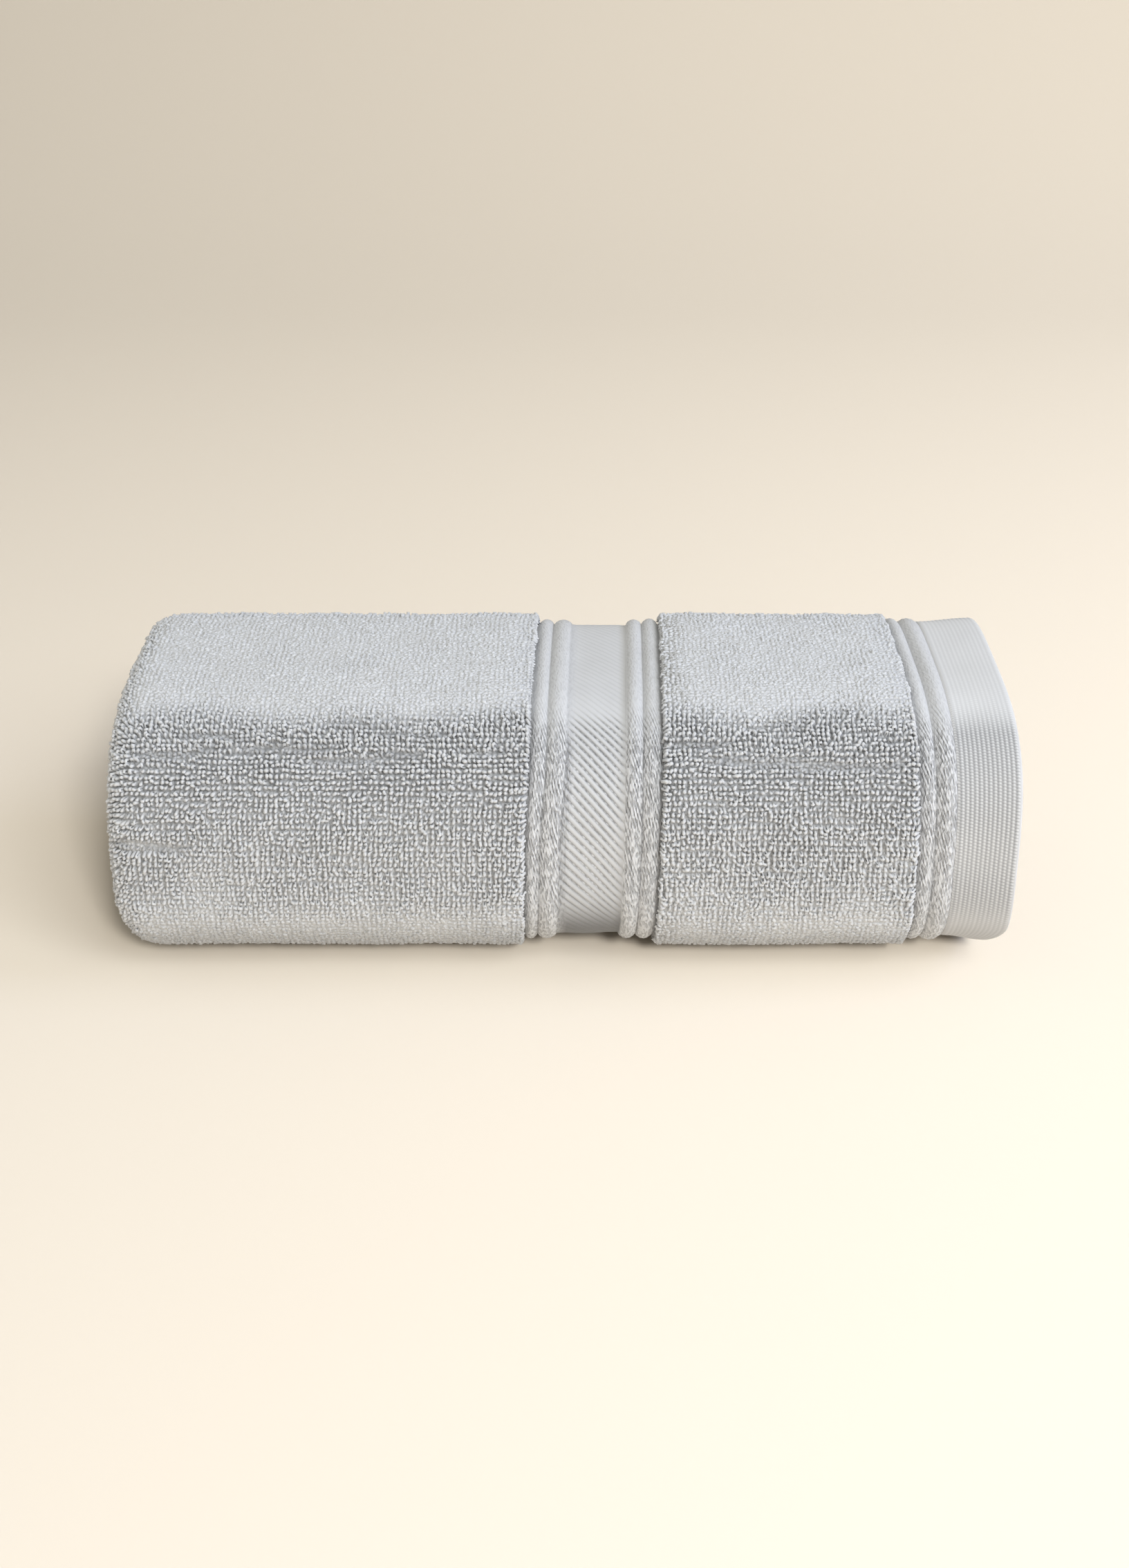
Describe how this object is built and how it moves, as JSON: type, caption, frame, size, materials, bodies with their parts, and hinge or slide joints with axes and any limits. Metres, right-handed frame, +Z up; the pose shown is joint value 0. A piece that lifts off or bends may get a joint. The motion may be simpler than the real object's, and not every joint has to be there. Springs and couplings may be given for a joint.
{
  "type": "rolled bath towel",
  "caption": "Rolled bath towel of looped cotton, slightly flattened, with a ribbed woven border round its middle and a flat woven hem at its open end.",
  "frame": {"origin": "centre of the bounding box's footprint, on the surface the roll rests on", "axes": "+X along the roll, from its folded end to its hem end; the front faces -Y and the loose end lies at the back; +Z up"},
  "size_m": [0.3524, 0.153, 0.1126],
  "materials": {
    "terry_cotton": "soft looped cotton pile with flat woven border, ribs and hem, matt"
  },
  "bodies": {
    "root": {"towel": "terry_cotton"}
  },
  "joints": []
}
